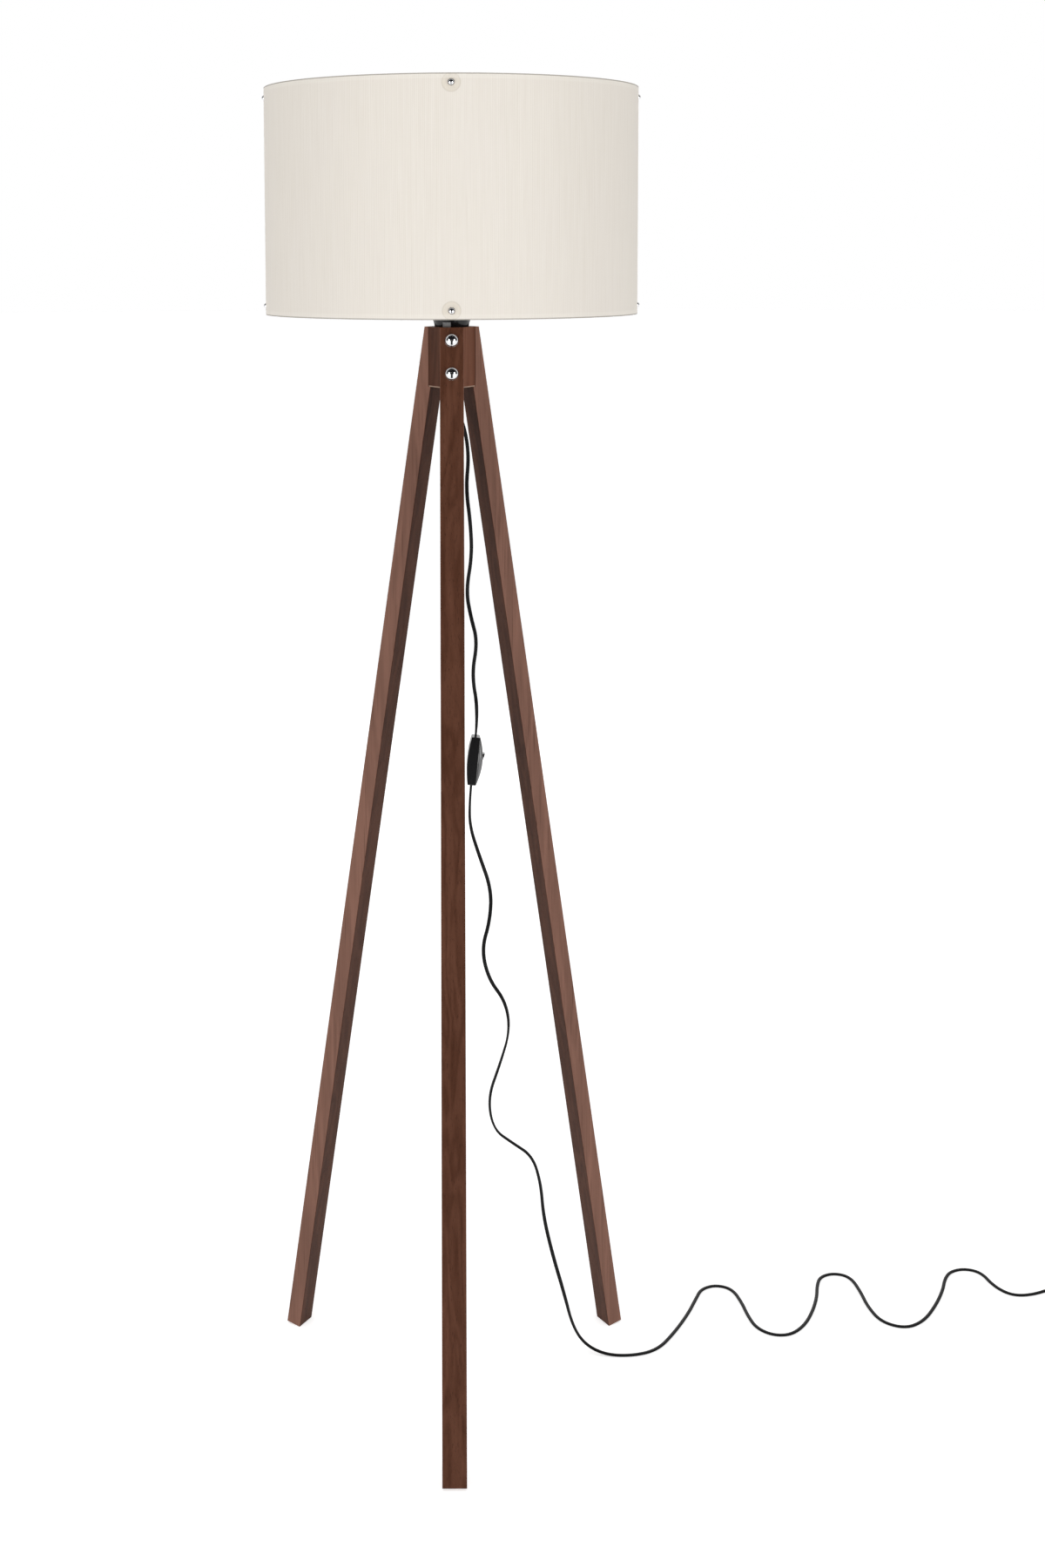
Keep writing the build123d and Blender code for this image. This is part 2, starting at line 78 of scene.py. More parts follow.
# The flex's route: from the bush under the hub to the switch, from the switch down to the floor, over the
# floor to the coil's start, and from the coil to the plug.  Its middle lies this high on the floor:
FLEX_LIES_AT = 0.0016
UPPER_ROUTE = [
    (0, 0, 1.1127), (0.0015, 0.0005, 1.1), (0.013, 0.001, 1.079), (0.0185, 0.002, 1.045),
    (0.015, 0.002, 1.0085), (0.02, 0.001, 0.97), (0.0215, 0, 0.934), (0.015, -0.001, 0.896),
    (0.02, 0, 0.867), (0.0275, 0.001, 0.839), (0.021, 0.001, 0.802), (0.028, 0, 0.763),
    (0.0253, 0, 0.7337),
]
HANGING_ROUTE = [
    (0.0203, 0, 0.6799), (0.0185, 0, 0.66), (0.0185, 0, 0.632), (0.0285, 0, 0.6), (0.0425, 0.001, 0.56),
    (0.041, 0.002, 0.524), (0.0315, 0.003, 0.4905), (0.0395, 0.004, 0.4555), (0.0585, 0.005, 0.4295),
    (0.0635, 0.007, 0.395), (0.052, 0.009, 0.355), (0.0385, 0.012, 0.315), (0.0445, 0.014, 0.277),
    (0.0665, 0.016, 0.26), (0.0895, 0.019, 0.243), (0.099, 0.021, 0.209), (0.102, 0.024, 0.169),
    (0.113, 0.027, 0.121), (0.1265, 0.03, 0.073), (0.136, 0.033, 0.034), (0.15, 0.034, 0.0105),
    (0.174, 0.026, 0.002),
]
FLOOR_WAVES = [
    (0.206, 0.025), (0.235, 0.037), (0.258, 0.073), (0.279, 0.114), (0.293, 0.149), (0.302, 0.171),
    (0.321, 0.1805), (0.34, 0.171), (0.347, 0.14), (0.35, 0.11), (0.356, 0.083), (0.373, 0.067),
    (0.395, 0.068), (0.415, 0.09), (0.43, 0.122), (0.44, 0.152), (0.445, 0.178), (0.4525, 0.199),
    (0.471, 0.208), (0.49, 0.199), (0.4955, 0.164), (0.497, 0.13), (0.506, 0.095), (0.532, 0.081),
    (0.557, 0.097), (0.58, 0.133), (0.597, 0.168), (0.605, 0.192), (0.616, 0.2105), (0.6355, 0.218),
    (0.6545, 0.209), (0.661, 0.177), (0.676, 0.155), (0.7, 0.1545),
]
LOWER_ROUTE = HANGING_ROUTE + [(x, y, FLEX_LIES_AT) for x, y in FLOOR_WAVES]
LOWER_ROUTE += [(0.732, 0.17, 0.0018), (0.755, 0.178, 0.0022)]
TAIL_ROUTE = [
    (0.8005, 0.148, 0.0122), (0.802, 0.134, 0.0106), (0.804, 0.117, 0.006), (0.806, 0.098, 0.0022),
    (0.8065, 0.079, 0.0022), (0.806, 0.061, 0.00685), (0.806, 0.044, 0.00685),
]
COIL_TURNS = 2.25
COIL_POINTS_PER_TURN = 14
COIL_RADIUS = 0.023
COIL_PITCH = 0.0043
SWITCH_CENTRE = (0.0228, 0.0, 0.7068)
SWITCH_TILT = math.radians(5.3)
CAMERA_PLACE = (0, -2.1449, 1.2676)
CAMERA_LENS = 45.476
CAMERA_SHIFT = (0.045, -0.225)
CAMERA_DOWN = math.radians(5.23)
CAMERA_ROLL = math.radians(-0.15)
LIGHT_AIM = Vector((0, 0, 0.85))
FLOOR_RADIUS = 40.0
THREAD_PITCH = 0.003629
THREAD_DEPTH = 0.0006


# ---- settings
def colour_of(name, default, description):
    return FloatVectorProperty(name=name, default=default, description=description, subtype="COLOR")


def length_of(name, default, description):
    return FloatProperty(name=name, default=default, description=description, min=0.0001, unit="LENGTH")


def amount_of(name, default, description, **kind):
    return FloatProperty(name=name, default=default, description=description, min=0, **kind)


class WoodSettings(bpy.types.PropertyGroup):
    dark: colour_of("Dark stain", (0.066, 0.0235, 0.0122), "Stain in the pores and late growth")
    light: colour_of("Light stain", (0.128, 0.052, 0.031), "Stain on the early growth")
    # The side colour is painted sheen: each leg's narrow side faces are drawn in it, paler, as if lit.
    side: colour_of("Side painted sheen", (0.262, 0.134, 0.098), "Paler colour painted on the narrow side faces as sheen")
    grain: length_of("Grain width", 0.0022, "Usual distance between two grain lines")


class ShadeSettings(bpy.types.PropertyGroup):
    colour: colour_of("Sheet", (0.84, 0.797, 0.735), "Colour of the shade's sheet")
    thickness: length_of("Thickness", 0.0008, "Thickness of the sheet")
    overlap: amount_of("Overlap", math.radians(7.0), "Angle over which the sheet's ends lap",
                       subtype="ANGLE")
    ribs: IntProperty(name="Ribs", description="Fine upright ribs round the sheet", default=640, min=0)


class HardwareSettings(bpy.types.PropertyGroup):
    bolt_radius: length_of("Bolt head radius", 0.0075, "Radius of a dome head on a leg")
    bolt_height: length_of("Bolt head height", 0.005, "Height of a dome head on a leg")
    screw_radius: length_of("Screw head radius", 0.0033, "Radius of a dome head on the shade")
    screw_height: length_of("Screw head height", 0.0032, "Height of a dome head on the shade")
    chrome: colour_of("Chrome", (0.83, 0.83, 0.84), "Colour of the plated heads")


class FlexSettings(bpy.types.PropertyGroup):
    width: length_of("Width", 0.0042, "Width of the flat flex")
    thickness: length_of("Thickness", 0.0026, "Thickness of the flat flex")
    colour: colour_of("Sheath", (0.006, 0.006, 0.0065), "Colour of the flex's sheath")


class StageSettings(bpy.types.PropertyGroup):
    floor: colour_of("Floor", (0.93, 0.93, 0.93), "Colour of the floor")
    room: amount_of("Room light", 0.12, "Even light from all sides")
    glow: amount_of("Floor glow", 0.62, "Light that comes up through the floor's white sheet")
    side_power: amount_of("Soft box power", 28.0, "Power of each of the two soft boxes", unit="POWER")
    top_strength: amount_of("Top light", 1.0, "Strength of the soft light from above")


# ---- shader maths and materials
def operation(name):
    """A method that adds the Math node of that name."""
    return lambda self, *others: self.step(name, self, *others)


class Maths:
    """A shader value that can be written in a Python expression; each step adds its Math node."""

    def __init__(self, tree, socket):
        self.tree, self.socket = tree, socket

    def step(self, name, *values):
        node = self.tree.nodes.new("ShaderNodeMath")
        node.operation = name
        for socket, value in zip(node.inputs, values):
            if isinstance(value, Maths):
                self.tree.links.new(value.socket, socket)
            else:
                socket.default_value = value
        return Maths(self.tree, node.outputs[0])

    def __rsub__(self, other):
        return self.step("SUBTRACT", other, self)

    __add__ = __radd__ = operation("ADD")
    __sub__, __mul__, __truediv__ = map(operation, ("SUBTRACT", "MULTIPLY", "DIVIDE"))
    power, least, arctan2 = map(operation, ("POWER", "MINIMUM", "ARCTAN2"))
    size, sine, cosine, floor = map(operation, ("ABSOLUTE", "SINE", "COSINE", "FLOOR"))
    above = operation("GREATER_THAN")


class Nodes:
    """A node tree to which nodes are added one call each."""

    def __init__(self, tree):
        self.tree = tree

    def feed(self, socket, value):
        if isinstance(value, Maths):
            self.tree.links.new(value.socket, socket)
        elif isinstance(value, bpy.types.NodeSocket):
            self.tree.links.new(value, socket)
        elif socket.type == "RGBA" and len(value) == 3:
            socket.default_value = (*value, 1.0)
        else:
            socket.default_value = value

    def node(self, kind, inputs=None, **settings):
        """Adds a node: its settings are made first, then the values or links of its sockets."""
        node = self.tree.nodes.new(kind)
        for key, value in settings.items():
            setattr(node, key, value)
        for key, value in (inputs or {}).items():
            self.feed(node.inputs[key], value)
        return node

    def first(self, *arguments, **settings):
        """The first output of a new node."""
        return self.node(*arguments, **settings).outputs[0]

    def value(self, socket):
        return Maths(self.tree, socket)

    def parts(self, vector):
        """The three numbers of a vector."""
        split = self.node("ShaderNodeSeparateXYZ", {0: vector})
        return [self.value(socket) for socket in split.outputs]


def times(amount, colour):
    """A colour made lighter or darker."""
    return tuple(amount * channel for channel in colour)


class Finish(Nodes):
    """One material: a Principled shader and the nodes that vary it over the surface."""

    def __init__(self, name, colour=(0.8, 0.8, 0.8), roughness=0.5, **constants):
        self.material = bpy.data.materials.new(name)
        self.material.use_nodes = True
        super().__init__(self.material.node_tree)
        self.tree.nodes.clear()
        self.shader = self.node("ShaderNodeBsdfPrincipled")
        self.node("ShaderNodeOutputMaterial", {"Surface": self.shader.outputs[0]})
        self.feed(self.shader.inputs["Base Color"], colour)
        self.feed(self.shader.inputs["Roughness"], roughness)
        for key, value in constants.items():
            self.feed(self.shader.inputs[key.replace("_", " ")], value)

    def place(self, turn=(0, 0, 0), scale=(1, 1, 1), shift=(0, 0, 0)):
        """The surface's own coordinates, turned, moved and stretched."""
        own = self.node("ShaderNodeTexCoord").outputs["Object"]
        return self.first("ShaderNodeMapping", {
            "Vector": own, "Rotation": turn, "Scale": scale, "Location": shift})

    def noise(self, where, scale, detail=3.0, roughness=0.5, distortion=0.0):
        return self.value(self.first("ShaderNodeTexNoise", {
            "Vector": where, "Scale": scale, "Detail": detail, "Roughness": roughness,
            "Distortion": distortion}))

    def mix(self, amount, first, second):
        """A colour between two colours."""
        return self.node("ShaderNodeMix", {0: amount, 6: first, 7: second}, data_type="RGBA").outputs[2]

    def ramp(self, value, low, high, smooth=True):
        """0 below low and 1 above high."""
        kind = "SMOOTHSTEP" if smooth else "LINEAR"
        return self.value(self.first("ShaderNodeMapRange", {
            "Value": value, "From Min": low, "From Max": high}, interpolation_type=kind))

    def bump(self, height, distance, strength=1.0):
        self.feed(self.shader.inputs["Normal"], self.first("ShaderNodeBump", {
            "Height": height, "Distance": distance, "Strength": strength}))

    def colour(self, value):
        self.feed(self.shader.inputs["Base Color"], value)

    def roughness(self, value):
        self.feed(self.shader.inputs["Roughness"], value)


def wood_finish(name, place_turn, settings, seed, leg=True):
    """Walnut-stained wood whose grain runs along Z once the piece is turned by place_turn.

    A leg's narrow sides are drawn pale as a painted sheen and its inner face dark as painted shade; the
    hub's right-facing faces are drawn lighter as painted light, its left-facing faces darker as painted
    shade, and it has a thin paler band along its lower edge.
    """
    finish = Finish(name, roughness=0.45, IOR=1.5, Specular_IOR_Level=0.05)
    shift = (seed * 0.37, seed * 0.61, seed * 0.23)
    across = 0.35 / settings.grain
    long_grain = finish.place(place_turn, (1, 1, 0.035), shift)
    fibres = finish.place(place_turn, (1, 1, 0.012), shift)
    board = finish.place(place_turn, (1, 1, 0.09), shift)
    bands = finish.noise(board, 34.0, 2.0, 0.45, 0.6)
    growth = (bands * 38.0).sine() * 0.5 + 0.5
    lines = finish.noise(long_grain, across, 4.0, 0.6, 0.3)
    pores = finish.noise(fibres, across * 6.0, 2.0, 0.5)
    cloud = finish.noise(finish.place(place_turn, (1, 1, 0.4), shift), 9.0, 2.0, 0.5)
    tone = finish.ramp(growth * 0.22 + lines * 0.62 + cloud * 0.38, 0.32, 0.86, False)
    body = finish.mix(tone, settings.dark, settings.light)
    normal = finish.node("ShaderNodeTexCoord").outputs["Normal"]
    facing = finish.parts(finish.first("ShaderNodeMapping", {
        "Vector": normal, "Rotation": place_turn}, vector_type="NORMAL"))
    if leg:
        # Painted sheen: both narrow side faces of a leg are drawn in the paler side colour, as if lit
        # from the sides.
        pale = finish.mix(tone, times(0.66, settings.side), settings.side)
        # Painted shade: the inner face, which faces the other legs, is drawn darker.
        deep = finish.mix(tone, times(0.72, settings.dark), times(0.74, settings.light))
        body = finish.mix(finish.ramp(0.0 - facing[0], 0.55, 0.8), body, deep)
        body = finish.mix(finish.ramp(facing[1].size(), 0.55, 0.8), body, pale)
    else:
        # Painted light and shade: the hub's faces turned to the right are drawn lighter, those turned to
        # the left darker.
        painted_light_right_faces = finish.mix(tone, times(1.35, settings.dark), times(1.45, settings.light))
        painted_shade_left_faces = finish.mix(tone, times(0.7, settings.dark), times(0.75, settings.light))
        body = finish.mix(finish.ramp(facing[0], -0.5, -0.2), painted_shade_left_faces, body)
        body = finish.mix(finish.ramp(facing[0], 0.2, 0.5), body, painted_light_right_faces)
        # A thin paler band along the hub's lower edge.
        height = finish.parts(finish.place())[2]
        pale_lower_band = 1.0 - finish.ramp(height, HUB_LOW.z + 0.0009, HUB_LOW.z + 0.0015)
        body = finish.mix(pale_lower_band * 0.75, body, (0.42, 0.30, 0.23))
    pore_mask = finish.ramp(pores, 0.60, 0.70)
    finish.colour(finish.mix(pore_mask * 0.45, body, times(0.5, settings.dark)))
    finish.roughness(0.38 + lines * 0.14 + pore_mask * 0.15)
    finish.bump(lines * 0.5 - pore_mask, 0.00012, 0.6)
    return finish.material


def plain_finish(name, colour, roughness, speck=0.06, scale=900.0, bump=0.00003, **constants):
    """A moulded or plated finish with faint unevenness in its gloss and surface."""
    finish = Finish(name, colour, roughness, **constants)
    grain = finish.noise(finish.place(), scale, 3.0, 0.55)
    wear = finish.noise(finish.place(shift=(0.3, 0.1, 0.7)), 40.0, 3.0, 0.6)
    finish.roughness(grain * speck + wear * speck + (roughness - speck))
    finish.colour(finish.mix(wear, times(0.86, colour), colour))
    if bump:
        finish.bump(grain, bump, 0.5)
    return finish.material


def sheet_finish(settings):
    """The shade's cream sheet: fine upright ribs, a faint cross weave, and washers that show through."""
    finish = Finish("Cream ribbed sheet", settings.colour, 0.55, Specular_IOR_Level=0.15)
    x, y, z = finish.parts(finish.place())
    angle = x.arctan2(0.0 - y)
    rib = (angle * float(settings.ribs)).sine() * 0.5 + 0.5
    uneven = finish.noise(finish.place(scale=(1, 1, 0.02)), 700.0, 2.0, 0.6)
    weave = (z * 2600.0).sine() * 0.5 + 0.5
    blotch = finish.noise(finish.place(scale=(1, 1, 0.5)), 14.0, 3.0, 0.6)
    pale = times(1.05, settings.colour)
    deep = (settings.colour[0] * 0.93, settings.colour[1] * 0.91, settings.colour[2] * 0.88)
    body = finish.mix(finish.ramp(rib * 0.22 + uneven * 0.6, 0.1, 0.75, False), deep, pale)
    body = finish.mix(finish.ramp(blotch, 0.35, 0.75) * 0.25, body, (0.84, 0.79, 0.74))
    from_middle = (z - SHADE_MIDDLE).size()
    sideways = x.size().least(y.size())
    upright = from_middle - (SHADE_HALF - SCREW_INSET)
    distance = (sideways * sideways + upright * upright).power(0.5)
    washer = 0.009
    disc = 1.0 - finish.ramp(distance, washer - 0.0004, washer + 0.0006)
    body = finish.mix(disc * 0.55, body, (0.74, 0.67, 0.56))
    rim = finish.ramp(distance, washer - 0.0008, washer - 0.0002)
    ring = rim * (1.0 - finish.ramp(distance, washer + 0.0002, washer + 0.0012))
    body = finish.mix(ring * 0.3, body, (0.55, 0.49, 0.4))
    wire_inset = 0.003
    at_wire = (from_middle - SHADE_HALF + wire_inset).size()
    band = 1.0 - finish.ramp(at_wire, 0.0012, 0.0032)
    body = finish.mix(band * 0.35, body, (0.9, 0.86, 0.79))
    # Painted shade: a dark line drawn along both rims of the sheet, at its cut edge.
    rim_painted_shade = finish.ramp(from_middle, SHADE_HALF - 0.0013, SHADE_HALF - 0.0009)
    finish.colour(finish.mix(rim_painted_shade * 0.75, body, (0.30, 0.275, 0.24)))
    finish.roughness(0.5 + uneven * 0.12)
    finish.bump(rib * 0.7 + uneven * 0.6 + weave * 0.15, 0.00012, 0.5)
    return finish.material


def flex_finish(settings):
    """A satin black sheath with faint scuffs."""
    finish = Finish("Black flex sheath", settings.colour, 0.36, Specular_IOR_Level=0.12)
    scuff = finish.noise(finish.place(), 260.0, 4.0, 0.65)
    fine = finish.noise(finish.place(), 2600.0, 2.0, 0.5)
    finish.colour(finish.mix(finish.ramp(scuff, 0.55, 0.8) * 0.5, settings.colour, (0.018, 0.018, 0.019)))
    finish.roughness(scuff * 0.2 + 0.28)
    finish.bump(fine * 0.6 + scuff, 0.00005, 0.5)
    return finish.material


def paint(material, *nodes):
    """Gives CAD nodes a material."""
    for node in nodes:
        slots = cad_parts[node].material_slots
        if not slots:
            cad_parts[node].data.materials.append(material)
        for slot in slots:
            slot.material = material


# ---- meshes
def new_object(name, data, material=None):
    piece = bpy.data.objects.new(name, data)
    bpy.context.scene.collection.objects.link(piece)
    if material:
        data.materials.append(material)
    return piece


def smooth(mesh, angle):
    """Smooth shading that keeps edges sharper than the angle."""
    mesh.polygons.foreach_set("use_smooth", [True] * len(mesh.polygons))
    mesh.set_sharp_from_angle(angle=math.radians(angle))


def mesh_of(shape, name, place=None, angle=None):
    """The finished mesh of a bmesh, moved to its place and shaded smooth."""
    mesh = bpy.data.meshes.new(name)
    shape.to_mesh(mesh)
    shape.free()
    if place:
        mesh.transform(place)
    if angle:
        smooth(mesh, angle)
    return mesh


def bridge(shape, rows):
    """Faces between closed rows of equally many vertices."""
    for low, high in zip(rows, rows[1:]):
        for k in range(len(low)):
            after = (k + 1) % len(low)
            shape.faces.new((low[k], low[after], high[after], high[k]))


def close_tube(shape, rows):
    """Faces along closed rows and over both ends."""
    bridge(shape, rows)
    shape.faces.new(rows[0][::-1])
    shape.faces.new(rows[-1])


def lathe(name, profile, sides, place=None, wave=None):
    """A closed turned mesh: profile is (radius, height) from pole to pole; wave varies the radius."""
    shape = bmesh.new()
    rows = []
    for radius, height in profile:
        if radius < 1e-7:
            rows.append([shape.verts.new((0, 0, height))])
            continue
        row = []
        for side in range(sides):
            turn = 2 * math.pi * side / sides
            r = radius + (wave(turn, radius, height) if wave else 0.0)
            row.append(shape.verts.new((r * math.cos(turn), r * math.sin(turn), height)))
        rows.append(row)
    for low, high in zip(rows, rows[1:]):
        for side in range(sides):
            after = (side + 1) % sides
            ring = [low[side % len(low)], low[after % len(low)],
                    high[after % len(high)], high[side % len(high)]]
            face = list(dict.fromkeys(ring))
            if len(face) > 2:
                shape.faces.new(face)
    if len(rows[0]) > 1 and len(rows[-1]) > 1:
        bridge(shape, [rows[-1], rows[0]])
    bmesh.ops.recalc_face_normals(shape, faces=shape.faces)
    return mesh_of(shape, name, place, 35)


def arc(centre, radius, start, end, steps):
    """Points of an arc as (radius, height), with angles in degrees from the outward direction."""
    turns = [math.radians(start + (end - start) * step / steps) for step in range(steps + 1)]
    return [(centre[0] + radius * math.cos(t), centre[1] + radius * math.sin(t)) for t in turns]


def dome_profile(radius, height, shank_radius, shank_length):
    """A dome head standing on height 0 with its shank below."""
    ball = (radius**2 + height**2) / (2 * height)
    start = math.degrees(math.acos(radius / ball))
    dome = arc((0, height - ball), ball, start, 90, 14)
    dome[-1] = (0, height)
    edge = 0.04 * radius
    return [(0, -shank_length), (shank_radius, -shank_length), (shank_radius, 0), (radius - edge, 0),
            (radius, edge)] + dome[1:]


def baked(piece, name):
    """The evaluated mesh of a piece as a plain object; the piece itself is removed."""
    evaluated = piece.evaluated_get(bpy.context.evaluated_depsgraph_get())
    mesh = bpy.data.meshes.new_from_object(evaluated)
    mesh.name = name
    bpy.data.objects.remove(piece)
    return new_object(name, mesh)


def dress(piece, nodes, body="root"):
    """Hands a finished piece over: what it rides on and the CAD nodes it replaces."""
    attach(piece, body)
    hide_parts(*nodes)


# ---- geometry nodes
class Geometry(Nodes):
    """A Geometry Nodes tree with named inputs."""

    def __init__(self, name, inputs):
        super().__init__(bpy.data.node_groups.new(name, "GeometryNodeTree"))
        self.tree.interface.new_socket("Geometry", in_out="INPUT", socket_type="NodeSocketGeometry")
        for label, kind in inputs.items():
            self.tree.interface.new_socket(label, in_out="INPUT", socket_type="NodeSocket" + kind)
        self.tree.interface.new_socket("Geometry", in_out="OUTPUT", socket_type="NodeSocketGeometry")
        self.given = self.node("NodeGroupInput").outputs
        self.output = self.node("NodeGroupOutput")

    def amount(self, name):
        return self.value(self.given[name])

    def around(self, points, radius, turn, height):
        """The points set at a radius, a direction and a height about Z."""
        place = self.first("ShaderNodeCombineXYZ", {
            0: radius * turn.cosine(), 1: radius * turn.sine(), 2: height})
        return self.first("GeometryNodeSetPosition", {
            "Geometry": points, "Position": place})

    def end(self, geometry):
        """Realized instances with their material, as the tree's result."""
        real = self.first("GeometryNodeRealizeInstances", {0: geometry})
        painted = self.node("GeometryNodeSetMaterial", {
            "Geometry": real, "Material": self.given["Material"]})
        self.feed(self.output.inputs[0], painted.outputs[0])

    def make(self, name, values):
        """Runs the tree on an empty mesh and returns the result as a plain object."""
        piece = new_object(name + "_source", bpy.data.meshes.new(name + "_source"))
        modifier = piece.modifiers.new("Geometry", "NODES")
        modifier.node_group = self.tree
        for item in self.tree.interface.items_tree:
            if item.in_out == "INPUT" and item.name in values:
                modifier[item.identifier] = values[item.name]
        return baked(piece, name)


def ring_tree():
    """Copies of a part made along +X, set round Z in rows; each row may differ in radius and height."""
    ring = Geometry("Ring of parts", {
        "Part": "Object", "Count": "Int", "Rows": "Int", "Radius": "Float", "Radius step": "Float",
        "Height": "Float", "Height step": "Float", "First direction": "Float", "Tilt": "Float",
        "Material": "Material"})
    count = ring.amount("Count")
    points = ring.first("GeometryNodeMeshLine", {"Count": count * ring.amount("Rows")})
    index = ring.value(ring.first("GeometryNodeInputIndex"))
    row = (index / count).floor()
    turn = (index / count) * (2 * math.pi) + ring.amount("First direction")
    radius = ring.amount("Radius") + row * ring.amount("Radius step")
    height = ring.amount("Height") + row * ring.amount("Height step")
    moved = ring.around(points, radius, turn, height)
    tilt = ring.amount("Tilt") * -1.0
    euler = ring.first("ShaderNodeCombineXYZ", {1: tilt, 2: turn})
    facing = ring.first("FunctionNodeEulerToRotation", {0: euler})
    part = ring.node("GeometryNodeObjectInfo", {"Object": ring.given["Part"]})
    copies = ring.first("GeometryNodeInstanceOnPoints", {
        "Points": moved, "Instance": part.outputs["Geometry"], "Rotation": facing})
    ring.end(copies)
    return ring


def sheet_tree():
    """A sheet wrapped once round Z with its ends lapped, before it gets its thickness."""
    full, lap_start, lap_end = 2 * math.pi, 0.16, 0.01
    wrap = Geometry("Wrapped sheet", {
        "Radius": "Float", "Low": "Float", "High": "Float", "Lap": "Float", "Thickness": "Float",
        "Material": "Material"})
    grid = wrap.first("GeometryNodeMeshGrid", {
        "Size X": 1.0, "Size Y": 1.0, "Vertices X": 561, "Vertices Y": 13})
    where = wrap.first("GeometryNodeInputPosition")
    across, upwards, _ = wrap.parts(where)
    along, up = across + 0.5, upwards + 0.5
    lap, low = wrap.amount("Lap"), wrap.amount("Low")
    swept = along * (lap + full)
    rise = wrap.node("ShaderNodeMapRange", {
        "Value": swept, "From Min": full - lap_start, "From Max": full - lap_end},
        interpolation_type="SMOOTHSTEP").outputs[0]
    radius = wrap.amount("Radius") + wrap.value(rise) * wrap.amount("Thickness") * 1.05
    turn = swept - lap * 0.5 + math.pi / 2
    height = low + up * (wrap.amount("High") - low)
    wrap.end(wrap.around(grid, radius, turn, height))
    return wrap


# ---- operators
class LAMP_OT_stage(bpy.types.Operator):
    """Floor, lights and camera"""

    bl_idname = "lamp.stage"
    bl_label = "Stage"

    def execute(self, context):
        settings = context.scene.lamp_stage
        shape = bmesh.new()
        bmesh.ops.create_circle(shape, cap_ends=True, segments=96, radius=FLOOR_RADIUS)
        finish = Finish("Pale floor", settings.floor, 0.85, Specular_IOR_Level=0.1,
                        Emission_Color=(1, 1, 1), Emission_Strength=settings.glow)
        soft = finish.noise(finish.place(), 3.0, 2.0, 0.5)
        finish.roughness(soft * 0.1 + 0.8)
        new_object("floor", mesh_of(shape, "floor"), finish.material)

        camera = new_object("camera", bpy.data.cameras.new("camera"))
        camera.data.lens = CAMERA_LENS
        camera.data.sensor_width = 36.0
        camera.data.shift_x, camera.data.shift_y = CAMERA_SHIFT
        tip = Matrix.Rotation(math.radians(90) - CAMERA_DOWN, 4, "X")
        roll = Matrix.Rotation(CAMERA_ROLL, 4, "Z")
        camera.matrix_world = Matrix.Translation(CAMERA_PLACE) @ tip @ roll
        context.scene.camera = camera

        for name, place, share, size in (("box_left", (-2.3, -2.5, 1.1), 1.0, (1.5, 2.6)),
                                         ("box_right", (2.3, -2.5, 1.1), 1.0, (1.5, 2.6)),
                                         ("box_back", (0.0, 3.4, 1.5), 0.7, (2.6, 2.0))):
            self.soft_box(name, place, share * settings.side_power, size)
        top = new_object("top_light", bpy.data.lights.new("top_light", "SUN"))
        top.data.energy = settings.top_strength
        top.data.angle = math.radians(70)
        top.rotation_euler = (math.radians(12), 0, 0)
        top.visible_glossy = False
        self.room(context, settings.room)
        self.stand()
        context.scene.view_settings.view_transform = "Standard"
        return {"FINISHED"}

    def soft_box(self, name, place, power, size):
        light = new_object(name, bpy.data.lights.new(name, "AREA"))
        light.data.shape = "RECTANGLE"
        light.data.size, light.data.size_y = size
        light.data.energy = power
        turn = (LIGHT_AIM - Vector(place)).to_track_quat("-Z", "Y").to_matrix().to_4x4()
        light.matrix_world = Matrix.Translation(place) @ turn

    def stand(self):
        """The dark camera stand, which only polished parts mirror."""
        shape = bmesh.new()
        rows = [(0.26, -0.5, 0.004), (0.6, -2.3, 0.004), (0.6, -2.31, 1.5)]
        edges = [[shape.verts.new((side * half, y, z)) for side in (-1, 1)] for half, y, z in rows]
        for near, far in zip(edges, edges[1:]):
            shape.faces.new((near[0], near[1], far[1], far[0]))
        dark = Finish("Dark stand", (0.01, 0.01, 0.01), 0.9).material
        stand = new_object("camera_stand", mesh_of(shape, "camera_stand"), dark)
        stand.visible_camera = stand.visible_diffuse = stand.visible_shadow = False
        stand.visible_transmission = False

    def room(self, context, strength):
        """Even light for the lamp, and a white surround behind it.

        Polished parts mirror another room, dark in front of the lamp and light behind it.
        """
        world = bpy.data.worlds.new("room")
        world.use_nodes = True
        world.node_tree.nodes.clear()
        nodes = Nodes(world.node_tree)

        def background(colour, power):
            return nodes.first("ShaderNodeBackground", {"Color": colour, "Strength": power})

        def choose(test, otherwise, chosen):
            return nodes.first("ShaderNodeMixShader", {0: test, 1: otherwise, 2: chosen})

        ray = nodes.node("ShaderNodeLightPath").outputs
        direction = nodes.node("ShaderNodeTexCoord").outputs["Generated"]
        depth = nodes.parts(direction)[1]
        behind = depth.above(-0.02)
        dark_front, light_back = background((0.012, 0.012, 0.014), 1.0), background((0.8, 0.8, 0.8), 0.9)
        mirrored = choose(behind, dark_front, light_back)
        lit = choose(ray["Is Glossy Ray"], background((1.0, 0.99, 0.975), strength), mirrored)
        seen = choose(ray["Is Camera Ray"], lit, background((1, 1, 1), 1.0))
        nodes.node("ShaderNodeOutputWorld", {"Surface": seen})
        context.scene.world = world


